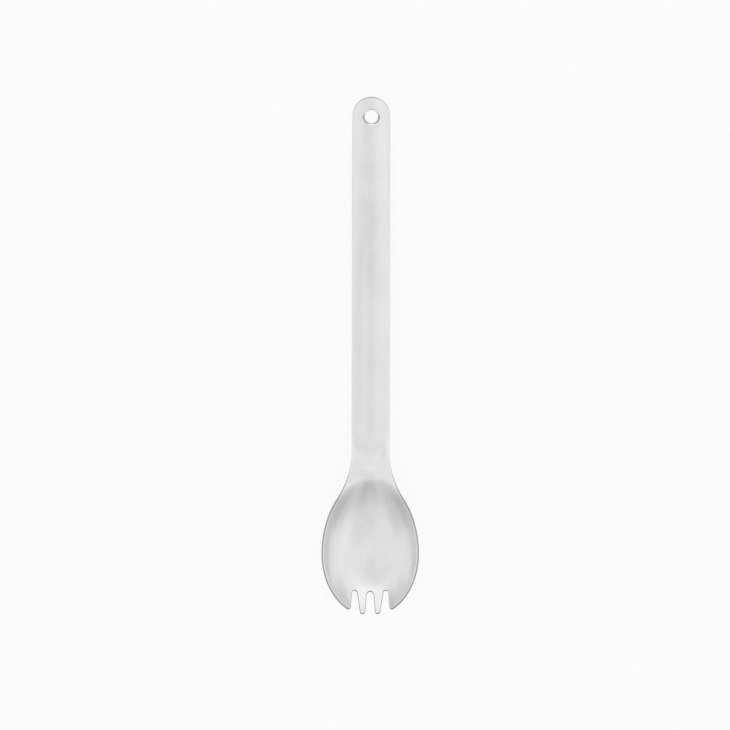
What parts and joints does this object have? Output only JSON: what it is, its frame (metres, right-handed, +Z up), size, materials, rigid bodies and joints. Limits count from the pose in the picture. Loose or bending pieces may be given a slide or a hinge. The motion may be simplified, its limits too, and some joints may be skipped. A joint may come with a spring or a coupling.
{
  "type": "spork",
  "caption": "Long-handled camping spork pressed from one titanium sheet: deep egg-shaped bowl with short tines, crowned handle and a round hanging hole at its end.",
  "frame": {"origin": "on the surface it lies on, under the middle of its length and width", "axes": "+Y runs from the tines to the end of the handle, +X to the right with the bowl open upward, +Z up out of the bowl"},
  "size_m": [0.0404, 0.215, 0.0115],
  "materials": {
    "titanium": "satin bead-blasted titanium"
  },
  "bodies": {
    "root": {"spork_body": "titanium"}
  },
  "joints": []
}
